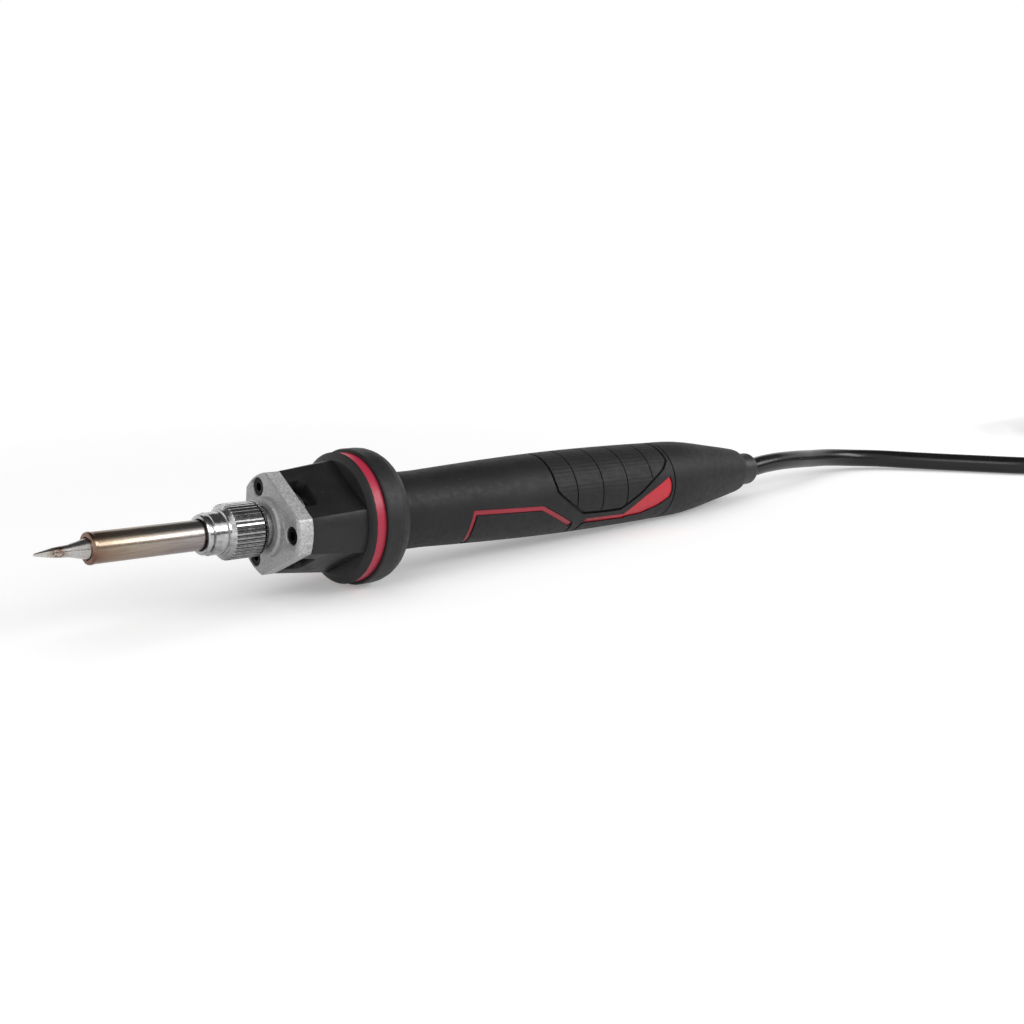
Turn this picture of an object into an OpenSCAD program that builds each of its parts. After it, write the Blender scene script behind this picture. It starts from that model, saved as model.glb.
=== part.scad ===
// Soldering iron handpiece with its station lead.
// The handpiece is drawn along +X from the point of the bit, then laid down on its guard and its rear cap.
// Stations are millimetres from the point of the bit; radii are measured from the handpiece axis.

/* [Bit] */
// Length of the bit in front of the sleeve
bit_reach = 10.9; // [8:0.1:20]
// Length of the bevelled end
bevel_length = 3.9; // [2:0.1:6]
// Radius where the bevel meets the cone
bevel_radius = 1; // [0.6:0.05:1.2]
// Length of the bit in front of the foot of its cone
waist_length = 7.1; // [6.5:0.1:7.8]
// Radius at the foot of the cone
waist_radius = 1.25; // [1.2:0.05:1.6]
// Radius of the cone at the sleeve
cone_radius = 2.15; // [1.6:0.05:2.2]
// Radius of the bit inside the sleeve
shank_radius = 2.75; // [2.5:0.05:2.78]
// Station of the rear end of the bit
shank_end = 38; // [30:0.5:40]
// Radius of the bore for the heater
heater_bore_radius = 2.05; // [2:0.05:2.2]

/* [Sleeve] */
// Outer radius of the sleeve
sleeve_radius = 3.22; // [3.2:0.01:3.3]
// Wall of the sleeve
sleeve_wall = 0.35; // [0.3:0.01:0.37]
// Radius of the rolled front rim
rim_radius = 3.35; // [3.32:0.01:3.6]
// Relief of the part of the sleeve that the nut covers
sleeve_relief = 0.17; // [0.16:0.01:0.2]
// Thickness of the rolled front rim
rim_length = 0.9; // [0.6:0.1:1.5]
// Radius of the flange that the nut holds
sleeve_flange_radius = 4.2; // [3.9:0.05:4.25]
// Thickness of the flange that the nut holds
sleeve_flange_length = 1.4; // [1:0.1:1.6]

/* [Nut] */
// Station of the front face of the nut
nut_front = 35.9; // [35:0.1:36.5]
// Radius over the fluted part
nut_radius = 6; // [5.7:0.05:6.3]
// Length of the fluted part
flute_length = 6.6; // [5:0.1:7]
// Number of flutes
flute_count = 40; // [24:1:48]
// Radius of one flute
flute_radius = 0.28; // [0.2:0.01:0.32]
// Radius of the smooth collar
nut_collar_radius = 4.55; // [4.3:0.05:4.8]
// Length of the smooth collar
nut_collar_length = 2.9; // [2:0.1:3.5]
// Radius of the lip at the front
nut_lip_radius = 4.3; // [4:0.05:4.5]
// Length of the lip at the front
nut_lip_length = 0.8; // [0.5:0.1:1.2]
// Radius of the step behind the collar
nut_step_radius = 4.95; // [4.8:0.05:5.3]
// Radius of the screw thread, drawn plain
thread_radius = 4.5; // [4.3:0.05:4.6]
// Pitch of the screw thread
thread_pitch = 1; // [0.75:0.05:1.25]
// Turns that the nut is slackened by
slack_turns = 6; // [1:1:6]

/* [Flange] */
// Station of the face of the cast flange
flange_front = 52.6; // [52:0.1:54]
// Thickness of the cast flange
flange_thickness = 3.9; // [3:0.1:5]
// Radius of the three lobes
lobe_radius = 11.6; // [11:0.1:12.5]
// Distance from the axis to the three flats
flat_distance = 8.8; // [8.6:0.1:10]
// Radius of the boss round the nut
boss_radius = 6.5; // [6.2:0.1:6.6]
// Height of the boss
boss_height = 1.5; // [1:0.1:1.8]
// Radius of the circle of the screws
screw_circle = 9; // [8.8:0.05:9.2]
// Radius of the screw holes
screw_hole_radius = 1.35; // [1.3:0.05:1.5]
// Radius of the screw recesses
recess_radius = 2; // [1.95:0.05:2.1]
// Depth of the screw recesses
recess_depth = 2; // [1.5:0.1:2.5]
// Radius of the screw shanks
screw_radius = 1.25; // [1.1:0.05:1.28]
// Radius of the screw heads
screw_head_radius = 1.85; // [1.6:0.05:1.9]
// Length of the screw shanks
screw_length = 10; // [7:0.5:11]

/* [Housing] */
// Length of the front housing up to the guard
housing_length = 13.4; // [10:0.1:14]
// Outer radius of the front housing at the guard
housing_rear_radius = 12.95; // [12.6:0.05:13.1]
// Bore of the front housing
housing_bore_radius = 7.6; // [7.5:0.05:7.65]
// Width of the vent notches
vent_width = 8; // [5:0.1:9]
// Length of the vent notches
vent_length = 3.9; // [2:0.1:5]
// Outer radius of the spigot that carries the guard and the handle
spigot_radius = 6.3; // [6:0.05:6.4]
// Wall of the spigot
spigot_wall = 1.1; // [0.8:0.05:1.2]
// How far the spigot reaches into the handle
spigot_reach = 10; // [6:0.5:11]

/* [Guard] */
// Length of the guard
guard_length = 11.6; // [11:0.1:15]
// Radius of the guard behind the red ring
guard_radius = 15.3; // [15:0.05:16]
// Radius of the lip in front of the red ring
guard_lip_radius = 14.7; // [14.5:0.05:15]
// Width of the groove for the red ring
ring_groove_width = 2.6; // [2:0.1:3]
// Depth of the groove below the lip
ring_groove_depth = 1.1; // [0.8:0.1:1.5]
// How far the red ring lies below the lip
ring_recess = 0.25; // [0.1:0.05:0.4]

/* [Grip] */
// Length of the grip from the guard to the seam
grip_length = 90.1; // [85:0.1:110]
// Radius of the grip beside the guard
neck_radius = 8.95; // [8.7:0.05:9.2]
// Largest radius of the grip
belly_radius = 10.4; // [10:0.05:11]
// Radius of the grip at the seam
seam_radius = 10.05; // [9.9:0.05:10.3]
// Wall of the soft cover
cover_wall = 1; // [0.8:0.05:1.2]
// Radius of the bore of the core
core_bore_radius = 6.4; // [6.3:0.05:6.5]
// Width of the thin red lines
line_width = 1.1; // [0.6:0.05:1.2]
// Gap beside the red lines
line_gap = 0.12; // [0.05:0.01:0.2]
// Depth of the red lines below the soft cover
line_recess = 0.3; // [0.1:0.05:0.5]
// Width of the groove round the thumb pad
pad_groove_width = 0.7; // [0.3:0.05:0.8]
// Depth of the thumb pad's seat in the cover
pad_seat_depth = 0.65; // [0.5:0.05:0.7]
// Width of the rings cut in the thumb pad
pad_ring_width = 0.35; // [0.2:0.05:0.6]
// Depth of the rings cut in the thumb pad
pad_ring_depth = 0.35; // [0.1:0.05:0.5]

/* [Rear cap] */
// Length of the rear cap
cap_length = 35.4; // [34:0.1:42]
// Wall of the rear cap
cap_wall = 1.3; // [1:0.1:1.8]
// Radius of the spigot that the cap sits on
cap_spigot_radius = 8.2; // [8:0.05:8.3]
// Length of the spigot that the cap sits on
cap_spigot_length = 6.4; // [4:0.1:8]

/* [Cord] */
// Diameter of the cord
cord_d = 5.2; // [4.8:0.1:5.4]
// Outer radius of the soft collar at the cord
collar_radius = 4.4; // [4.1:0.05:4.8]
// Length of the soft collar outside the cap
collar_length = 6.3; // [6:0.1:12]
// Gap between neighbouring turns of the hank
turn_gap = 0.75; // [0.7:0.05:1]
// Length of the straight runs of the hank
hank_run = 50; // [46:1:60]
// Radius of the innermost fold of the hank
fold_radius = 15.8; // [15.6:0.1:18]
// Thickness of the tie round the hank
tie_wall = 0.6; // [0.4:0.1:1]
// Width of the tie round the hank
tie_width = 9; // [6:0.5:14]
// Clearance between the tie and the cord
tie_gap = 0.2; // [0.2:0.05:0.5]

/* [Plug] */
// Radius of the locking ring
plug_ring_radius = 9.2; // [9:0.1:9.2]
// Length of the locking ring
plug_ring_length = 12; // [10:0.5:15]
// Radius of the plug shell
plug_shell_radius = 7.6; // [7:0.1:8]
// Length of the plug shell behind the ring
plug_shell_length = 20; // [16:0.5:24]
// Length of the soft boot
plug_boot_length = 11; // [8:0.5:16]
// Length of the boot that the shell holds
boot_hold = 3; // [2:0.5:5]
// Chamfer on the edges of the shell and the ring
plug_edge = 0.6; // [0.4:0.1:1]
// Wall of the locking ring at its thread
plug_ring_wall = 1.2; // [0.9:0.1:1.5]
// Number of flutes on the locking ring
plug_flute_count = 28; // [20:1:36]
// Radius of one flute on the locking ring
plug_flute_radius = 0.35; // [0.2:0.05:0.5]
// Radius of the screws in the shell
plug_screw_radius = 0.9; // [0.7:0.05:1.1]
// Distance of the screws from the end of the boot
plug_screw_offset = 4; // [3:0.5:6]
// Radius of the insert
plug_insert_radius = 5.2; // [5:0.1:5.6]
// Length of the insert inside the shell
insert_hold = 8; // [6:0.5:10]
// Depth of the insert's face in the locking ring
insert_depth = 1; // [0.5:0.1:2]
// Number of contacts
contact_count = 5; // [3:1:6]
// Radius of the contacts
contact_radius = 0.75; // [0.5:0.05:0.9]

/* [Inside] */
// Radius of the heater rod
heater_radius = 1.95; // [1.7:0.05:1.98]
// Station of the front end of the heater
heater_front = 15.6; // [15.4:0.1:18]
// Station of the rear end of the heater
heater_rear = 60.5; // [58:0.5:64]
// Outer radius of the heater ferrule
ferrule_radius = 3; // [2.8:0.05:3.02]
// Length of the heater ferrule
ferrule_length = 6; // [4:0.5:7]
// Radius of the foot of the threaded nipple
nipple_foot_radius = 7.4; // [7:0.05:7.45]
// Thickness of the foot of the threaded nipple
nipple_foot_length = 1.8; // [1.2:0.1:2.2]
// Length of the terminal board
board_length = 26; // [20:0.5:34]
// Thickness of the terminal board
board_thickness = 1.2; // [1:0.1:1.6]
// Width of the terminal board
board_width = 12.2; // [11:0.1:12.4]
// Side of the square connectors
connector_size = 8.4; // [7.5:0.1:8.6]
// Length of the connectors
connector_length = 6; // [4:0.5:8]
// Radius of the thin wires
wire_radius = 0.45; // [0.3:0.05:0.5]
// Length of the cord held inside the handle
inner_cord_length = 31.5; // [28:0.5:34]
// Length of the saddle that holds the cord
saddle_length = 6; // [4:0.5:8]

/* [Fits] */
// Running clearance of screwed and sliding fits
running_gap = 0.1; // [0.05:0.01:0.15]
// Clearance of pieces that are seated in each other
seat_gap = 0.05; // [0.03:0.01:0.1]
// Gap under a piece that lies loosely on others
lay_gap = 0.3; // [0.25:0.05:0.5]
// Room left beside the ends of pieces inside the handle
end_room = 1; // [0.6:0.1:2]
// Overrun of cuts
over = 1; // [0.5:0.1:2]

/* [Hidden] */

cord_r = cord_d/2;

// Stations that follow from the sizes above
sleeve_bore_radius = sleeve_radius - sleeve_wall;
rim_bore_radius = cone_radius + running_gap;
nut_collar_start = nut_front + 1.9*nut_lip_length;
nut_step = nut_collar_start + nut_collar_length;
flute_start = nut_step + 0.45*nut_collar_length;
nut_length = flute_start + 1.16*flute_length - nut_front;
nut_rear = nut_front + nut_length;
nut_seat = nut_step + 0.45*nut_collar_length;
flange_rest = nut_seat + sleeve_flange_length + 2*seat_gap;
flange_rear = flange_front + flange_thickness;
housing_end = flange_rear + housing_length;
guard_front = housing_end;
guard_rear = guard_front + guard_length;
grip_start = guard_rear;
grip_end = grip_start + grip_length;
cap_start = grip_end + pad_ring_width;
cap_end = cap_start + cap_length;
collar_end = cap_end + collar_length;
nut_travel = thread_pitch*slack_turns;
echo(nut_travel_mm = nut_travel);

// Profile of the grip: a straight neck, a swelling belly and a slow fall to the seam
neck_end = grip_start + 0.12*grip_length;
belly = grip_start + 0.68*grip_length;
function grip_radius(s) = s <= neck_end ? neck_radius
    : s <= belly ? neck_radius + (belly_radius - neck_radius)*sin(90*(s - neck_end)/(belly - neck_end))
    : belly_radius - (belly_radius - seam_radius)*pow((s - belly)/(grip_end - belly), 2);
grip_steps = 24;
grip_stations = [for (i = [0:grip_steps]) grip_start + grip_length*i/grip_steps];

// Outline of the rear cap: shares of its length and of its largest radius
cap_station_shares = [0, 0.1178, 0.2034, 0.2848, 0.3961, 0.5085, 0.621, 0.7387, 0.775, 0.8511, 0.942,
    0.97, 0.99, 1];
cap_radius_shares = [1, 0.995, 0.985, 0.965, 0.922, 0.862, 0.798, 0.732, 0.711, 0.668, 0.612, 0.585, 0.54,
    0.47];
heel_share = 3;
cap_last_share = len(cap_station_shares) - 1;
function cap_s(i) = cap_start + cap_length*cap_station_shares[i];
function cap_r(i) = seam_radius*cap_radius_shares[i];

// The handpiece rests on the rim of the guard and on the heel of the rear cap
rest_station = guard_front + 0.5934*guard_length;
heel_station = cap_s(heel_share);
heel_radius = cap_r(heel_share);
tilt = atan((guard_radius - heel_radius)/(heel_station - rest_station));
axis_lift = rest_station*sin(tilt) + guard_radius*cos(tilt);
half_reach = collar_end*cos(tilt)/2;
function placed(s) = [s*cos(tilt) - half_reach, 0, axis_lift - s*sin(tilt)];
echo(tilt_deg = tilt, exit_mm = placed(collar_end), half_reach_mm = half_reach, axis_lift_mm = axis_lift);

module laid() {
    translate([-half_reach, 0, axis_lift]) rotate([0, tilt, 0]) children();
}

// Turns a drawing about +Z into one about the handpiece axis
module along_axis() {
    rotate([0, 90, 0]) children();
}

// A solid of revolution from its outline of [radius, station] points
module turned(outline, sides = 96) {
    along_axis() rotate_extrude($fn = sides) polygon(outline);
}

// A plain tube between two stations
module tube(r_out, r_in, from, to, sides = 64) {
    turned([[r_in, from], [r_out, from], [r_out, to], [r_in, to]], sides);
}

// A plain rod between two stations
module rod(r, from, to, sides = 48) {
    translate([from, 0, 0]) along_axis() cylinder(r = r, h = to - from, $fn = sides);
}

// The three lobes stand just below the near side and 120 degrees to either side of that
lobe_turn = 120;
lobe_lean = 3;
module at_lobe(i, r) {
    rotate([lobe_turn*i + lobe_lean, 0, 0]) translate([0, -r, 0]) children();
}

/* Bit, sleeve and nut */

// The bevel looks to the near side and a little up
bevel_turn = 65;
module soldering_tip() {
    point_radius = 0.28*bevel_radius;
    shoulder = bit_reach + rim_length + running_gap;
    color("silver") laid() difference() {
        turned([[0, 0], [point_radius, 0.4*point_radius], [bevel_radius, bevel_length],
            [waist_radius, waist_length], [cone_radius, bit_reach], [cone_radius, shoulder],
            [shank_radius, shoulder],
            [shank_radius, shank_end], [heater_bore_radius, shank_end],
            [heater_bore_radius, heater_front - 2*running_gap], [0, heater_front - cone_radius]]);
        rotate([bevel_turn, 0, 0]) rotate([0, 180 + atan(0.42*bevel_radius/bevel_length), 0])
            translate([-bevel_length, -over, 0.28*bevel_radius])
            cube([bevel_length + over, 2*over, 2*over]);
    }
}

module tip_sleeve() {
    flange_end = nut_seat + seat_gap + sleeve_flange_length;
    color([0.62, 0.5, 0.42]) laid() turned([[rim_bore_radius, bit_reach + 0.25*rim_length],
        [rim_bore_radius + 0.3*sleeve_wall, bit_reach], [rim_radius - 1.1*sleeve_wall, bit_reach],
        [rim_radius - 0.35*sleeve_wall, bit_reach + 0.15*rim_length],
        [rim_radius, bit_reach + 0.6*rim_length],
        [rim_radius - 0.15*sleeve_wall, bit_reach + 0.9*rim_length],
        [sleeve_radius, bit_reach + 1.3*rim_length],
        [sleeve_radius, nut_front - 4*running_gap],
        [sleeve_radius - sleeve_relief, nut_front - 3*running_gap],
        [sleeve_radius - sleeve_relief, nut_seat + seat_gap], [sleeve_flange_radius, nut_seat + seat_gap],
        [sleeve_flange_radius, flange_end], [sleeve_bore_radius, flange_end],
        [sleeve_bore_radius, bit_reach + rim_length], [rim_bore_radius, bit_reach + rim_length]]);
}

module sleeve_nut() {
    bore = sleeve_radius + running_gap;
    seat_bore = sleeve_flange_radius + running_gap;
    thread_bore = thread_radius + running_gap;
    lip_end = nut_front + nut_lip_length;
    flute_end = flute_start + flute_length;
    color([0.8, 0.8, 0.82]) laid() difference() {
        turned([[bore, nut_front + 0.2*nut_lip_length], [bore + 0.2*nut_lip_length, nut_front],
            [nut_lip_radius - 0.3*nut_lip_length, nut_front],
            [nut_lip_radius, nut_front + 0.4*nut_lip_length], [nut_lip_radius, lip_end],
            [nut_lip_radius - 0.4*nut_lip_length, lip_end + 0.2*nut_lip_length],
            [nut_lip_radius - 0.4*nut_lip_length, nut_collar_start - 0.3*nut_lip_length],
            [nut_collar_radius, nut_collar_start], [nut_collar_radius, nut_step],
            [nut_step_radius, nut_step + 0.05*nut_collar_length],
            [nut_step_radius, nut_step + 0.2*nut_collar_length],
            [nut_radius, flute_start], [nut_radius, flute_end],
            [nut_radius - 1.5*flute_radius, flute_end + 0.03*flute_length],
            [nut_radius - 1.5*flute_radius, flute_end + 0.06*flute_length],
            [nut_radius, flute_end + 0.09*flute_length],
            [nut_radius - flute_radius, nut_rear], [thread_bore, nut_rear],
            [thread_bore, flange_rest], [seat_bore, flange_rest], [seat_bore, nut_seat], [bore, nut_seat]]);
        for (i = [0:flute_count - 1])
            rotate([360*i/flute_count, 0, 0])
                translate([flute_start - over, 0, nut_radius])
                along_axis() cylinder(r = flute_radius, h = nut_rear - flute_start + 2*over, $fn = 16);
    }
}

/* Heater and nipple */

ferrule_front = flange_rest + 1.5*running_gap;
module heater_rod() {
    color("white") laid() rod(heater_radius, heater_front, heater_rear);
}

module heater_ferrule() {
    color("gray") laid() tube(ferrule_radius, heater_radius + seat_gap, ferrule_front,
        ferrule_front + ferrule_length);
}

module threaded_nipple() {
    foot_front = flange_rear + seat_gap;
    bore = ferrule_radius + seat_gap;
    color([0.72, 0.72, 0.7]) laid() turned([[bore, flange_rest], [thread_radius - bore/20, flange_rest],
        [thread_radius, flange_rest + bore/20], [thread_radius, foot_front],
        [nipple_foot_radius, foot_front], [nipple_foot_radius, foot_front + nipple_foot_length],
        [bore, foot_front + nipple_foot_length]]);
}

/* Cast flange and its screws */

// A wedge of space beyond the flat between two lobes, from one station to another
module beyond_flat(i, distance, from, to, lean) {
    rotate([lobe_turn*i + lobe_turn/2 + lobe_lean, 0, 0]) translate([from, 0, 0])
        rotate([0, 0, -lean]) translate([-over, -distance - 2*lobe_radius, -2*lobe_radius])
        cube([to - from + 4*over, 2*lobe_radius, 4*lobe_radius]);
}

module front_flange() {
    edge = 0.12*flange_thickness;
    bore = thread_radius + running_gap;
    color([0.7, 0.71, 0.72]) laid() difference() {
        turned([[bore, flange_front - boss_height],
            [boss_radius - 0.3*boss_height, flange_front - boss_height],
            [boss_radius, flange_front - 0.7*boss_height], [boss_radius, flange_front],
            [lobe_radius - edge, flange_front], [lobe_radius, flange_front + edge],
            [lobe_radius, flange_rear], [bore, flange_rear]]);
        for (i = [0:2]) {
            beyond_flat(i, flat_distance, flange_front, flange_rear, 0);
            at_lobe(i, screw_circle) {
                rod(screw_hole_radius, flange_front - over, flange_rear + over);
                rod(recess_radius, flange_front - over, flange_front + recess_depth);
                translate([flange_front - seat_gap, 0, 0]) along_axis()
                    cylinder(r1 = 1.15*recess_radius, r2 = recess_radius, h = 0.15*recess_depth, $fn = 48);
            }
        }
    }
}

module flange_screws() {
    head_front = flange_front + 0.2*recess_depth;
    seat = flange_front + recess_depth;
    color([0.12, 0.12, 0.13]) laid() for (i = [0:2]) at_lobe(i, screw_circle) difference() {
        union() {
            rod(screw_head_radius, head_front, seat);
            rod(screw_radius, seat, seat + screw_length);
        }
        translate([head_front - over, 0, 0]) along_axis()
            cylinder(r = 0.55*screw_head_radius, h = over + 0.55*(seat - head_front), $fn = 6);
    }
}

/* Front housing, guard and red ring */

module front_housing() {
    flare = atan((housing_rear_radius - lobe_radius)/housing_length);
    foot_space = nipple_foot_length + 2*seat_gap;
    ledge_end = flange_rear + foot_space + 2*spigot_wall;
    pilot = screw_radius + seat_gap;
    spigot_end = guard_rear + spigot_reach;
    spigot_bore = spigot_radius - spigot_wall;
    color([0.13, 0.13, 0.14]) laid() difference() {
        turned([[housing_bore_radius, flange_rear], [lobe_radius, flange_rear],
            [housing_rear_radius, housing_end], [spigot_radius, housing_end],
            [spigot_radius, spigot_end], [spigot_bore, spigot_end],
            [spigot_bore, housing_end - 2*spigot_wall], [housing_bore_radius, housing_end - 4*spigot_wall],
            [housing_bore_radius, ledge_end], [spigot_bore, ledge_end],
            [spigot_bore, flange_rear + foot_space], [housing_bore_radius, flange_rear + foot_space]]);
        for (i = [0:2]) {
            beyond_flat(i, flat_distance, flange_rear, housing_end, flare);
            rotate([lobe_turn*i + lobe_turn/2 + lobe_lean, 0, 0])
                translate([flange_rear - over, 0, 0]) vent_notch();
            at_lobe(i, screw_circle)
                rod(pilot, flange_rear - over, flange_front + recess_depth + screw_length + 2*seat_gap);
        }
    }
}

// Notch in the front edge of the housing, with two clipped corners
module vent_notch() {
    clip = 0.3*vent_length;
    reach = over + vent_length;
    rotate([90, 0, 0]) linear_extrude(height = 2*lobe_radius)
        polygon([[0, -vent_width/2], [reach - clip, -vent_width/2], [reach, clip - vent_width/2],
            [reach, vent_width/2 - clip], [reach - clip, vent_width/2], [0, vent_width/2]]);
}

groove_start = guard_front + 0.093*guard_length;
groove_end = groove_start + ring_groove_width;
groove_floor = guard_lip_radius - ring_groove_depth;
module guard_ring() {
    bore = spigot_radius + seat_gap;
    back = guard_rear - rest_station;
    color([0.1, 0.1, 0.1]) laid() turned([[bore, guard_front + seat_gap],
        [housing_rear_radius, guard_front + seat_gap],
        [0.93*guard_lip_radius, guard_front + 0.03*guard_length],
        [0.975*guard_lip_radius, guard_front + 0.06*guard_length],
        [guard_lip_radius, guard_front + 0.085*guard_length],
        [guard_lip_radius, groove_start], [groove_floor, groove_start], [groove_floor, groove_end],
        [0.985*guard_radius, groove_end], [guard_radius, groove_end + 0.03*guard_length],
        [guard_radius, rest_station],
        for (a = [15:15:75]) [guard_radius - 0.24*guard_radius*(1 - cos(a)), rest_station + back*sin(a)],
        [0.72*guard_radius, guard_rear], [bore, guard_rear]]);
}

module red_ring() {
    color([0.72, 0.1, 0.14]) laid() tube(guard_lip_radius - ring_recess, groove_floor + seat_gap,
        groove_start + seat_gap, groove_end - seat_gap, 96);
}

/* Handle: red core, soft cover and thumb pad */

// A shell between two offsets below the grip's surface
module grip_shell(below_out, below_in, from, to) {
    inside = [for (s = grip_stations) if (s > from && s < to) s];
    stations = concat([from], inside, [to]);
    last = len(stations) - 1;
    turned(concat([for (i = [0:last]) [grip_radius(stations[i]) - below_out, stations[i]]],
        [for (i = [0:last]) [grip_radius(stations[last - i]) - below_in, stations[last - i]]]));
}

// Side view of the markings: each point is a station share of the grip and a height share of its belly
function side_points(shares) = [for (p = shares)
    [grip_start + grip_length*p[0], belly_radius*p[1]]];

// Left normal of the step from one point to the next
function left_of(a, b) = [a[1] - b[1], b[0] - a[0]]/norm(b - a);

// Points beside an open line, mitred at its corners
function beside(points, w) = [for (i = [0:len(points) - 1])
    let (before = left_of(points[max(i - 1, 0)], points[max(i, 1)]),
        last = len(points) - 1,
        after = left_of(points[min(i, last - 1)], points[min(i + 1, last)]),
        half = before + after)
    points[i] + w*half*2/(half*half)];

// A strip of a given width along an open line
function strip(points, w) = let (last = len(points) - 1,
        up = beside(points, w/2), down = beside(points, -w/2))
    concat(up, [for (i = [0:last]) down[last - i]]);

// Outline moved to its left by a distance, which shrinks an anticlockwise one
function grown(points, w) = let (n = len(points)) [for (i = [0:n - 1])
    let (before = left_of(points[(i + n - 1) % n], points[i]),
        after = left_of(points[i], points[(i + 1) % n]),
        half = before + after)
    points[i] + w*half*2/(half*half)];

// Front red line: up from under the grip, along it, and down again
front_line_shares = [[0.27, -1.2], [0.25, -0.77], [0.241, -0.57], [0.239, -0.34], [0.243, -0.05],
    [0.477, -0.13], [0.603, -0.65]];
// Rear red line, below the thumb pad
rear_line_shares = [[0.655, -0.61], [0.718, -0.62], [0.82, -0.635]];
// Bare grooves that run from the two lines down under the grip
front_groove_shares = [[0.603, -0.6], [0.613, -0.79], [0.63, -1.2]];
rear_groove_shares = [[0.664, -0.6], [0.65, -0.7], [0.648, -0.79], [0.66, -1.2]];
// Red wedge that the rear line grows into, anticlockwise
wedge_shares = [[0.805, -0.665], [0.883, -0.62], [0.943, -0.455], [0.984, -0.26], [0.99, -0.1],
    [0.988, 0.11], [0.98, 0.26], [0.934, 0.075], [0.874, -0.17], [0.832, -0.41], [0.805, -0.6]];
// Thumb pad, anticlockwise; its top is cut above the grip
pad_shares = [[0.52, 1.2], [0.52, 0.47], [0.526, 0.2], [0.545, 0.06], [0.577, -0.14], [0.613, -0.325],
    [0.635, -0.41], [0.715, -0.44], [0.784, -0.435], [0.825, -0.24], [0.86, -0.07], [0.902, 0.175],
    [0.962, 0.445], [0.988, 0.62], [0.988, 1.2]];
pad_ring_shares = [0.602, 0.702, 0.8, 0.904];
front_line = side_points(front_line_shares);
rear_line = side_points(rear_line_shares);
front_groove = side_points(front_groove_shares);
rear_groove = side_points(rear_groove_shares);
wedge = side_points(wedge_shares);
pad = side_points(pad_shares);

// Prism through the handle, seen from the side
module through_side(outline) {
    translate([0, 2*belly_radius, 0]) rotate([90, 0, 0])
        linear_extrude(height = 4*belly_radius) polygon(outline);
}

module red_shapes(spread) {
    through_side(strip(front_line, line_width + spread));
    through_side(strip(rear_line, line_width + spread));
    through_side(grown(wedge, -spread/2));
}

// What the cover loses from its outside: the seat of the thumb pad and the bare grooves
module cover_seats() {
    intersection() {
        grip_shell(-over, pad_seat_depth, grip_start + seat_gap, grip_end - seat_gap);
        union() {
            through_side(pad);
            through_side(strip(front_groove, pad_groove_width));
            through_side(strip(rear_groove, pad_groove_width));
        }
    }
}

module handle_core() {
    outer_gap = cover_wall + seat_gap;
    spigot_end = grip_end + cap_spigot_length;
    color([0.7, 0.1, 0.14]) laid() {
        difference() {
            union() {
                grip_shell(outer_gap, neck_radius/2, grip_start + seat_gap, grip_end - seat_gap);
                tube(cap_spigot_radius, neck_radius/2, grip_end - over, spigot_end);
                intersection() {
                    grip_shell(line_recess, 2*outer_gap, grip_start + 2*end_room, grip_end - 2*seat_gap);
                    red_shapes(0);
                }
            }
            rod(core_bore_radius, grip_start - over, spigot_end + over, 64);
        }
        cord_tongue();
    }
}

module grip_cover() {
    color([0.12, 0.12, 0.125]) laid() difference() {
        grip_shell(0, cover_wall, grip_start + seat_gap, grip_end - seat_gap);
        red_shapes(2*line_gap);
        cover_seats();
    }
}

module thumb_pad() {
    color([0.1, 0.1, 0.105]) laid() difference() {
        intersection() {
            grip_shell(0, pad_seat_depth - seat_gap, grip_start + end_room, grip_end - seat_gap);
            through_side(grown(pad, pad_groove_width));
        }
        for (share = pad_ring_shares)
            tube(2*belly_radius, grip_radius(grip_start + share*grip_length) - pad_ring_depth,
                grip_start + share*grip_length - pad_ring_width/2,
                grip_start + share*grip_length + pad_ring_width/2, 96);
    }
}

/* Board, connectors and wires */

board_front = guard_rear + spigot_reach + connector_length + end_room;
board_rear = board_front + board_length;
module terminal_board() {
    color([0.1, 0.35, 0.2]) laid() translate([board_front, -board_width/2, -board_thickness/2])
        cube([board_length, board_width, board_thickness]);
}

module connector(from) {
    laid() translate([from, -connector_size/2, -connector_size/2])
        cube([connector_length, connector_size, connector_size]);
}

module front_connector() {
    color([0.85, 0.85, 0.8]) connector(board_front - connector_length);
}

module rear_connector() {
    color([0.85, 0.85, 0.8]) connector(board_rear);
}

module heater_leads() {
    spread = 0.6*heater_radius;
    color([0.8, 0.15, 0.1]) laid() for (i = [0:3]) rotate([45 + 90*i, 0, 0])
        translate([0, 0, spread]) rod(wire_radius, heater_rear, board_front - connector_length, 24);
}

module earth_wire() {
    from = flange_rear + seat_gap + nipple_foot_length;
    color([0.2, 0.6, 0.2]) laid() translate([0, 0, connector_size/2 - wire_radius - seat_gap])
        rod(wire_radius, from, board_front - connector_length, 24);
}

inner_cord_front = collar_end - inner_cord_length;
module cord_wires() {
    color([0.2, 0.3, 0.7]) laid() for (i = [0:contact_count - 1]) rotate([360*i/contact_count, 0, 0])
        translate([0, 0, 0.6*cord_r])
        rod(wire_radius, board_rear + connector_length, inner_cord_front, 24);
}

module inner_cord() {
    color([0.08, 0.08, 0.08]) laid() rod(cord_r, inner_cord_front, collar_end);
}

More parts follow.
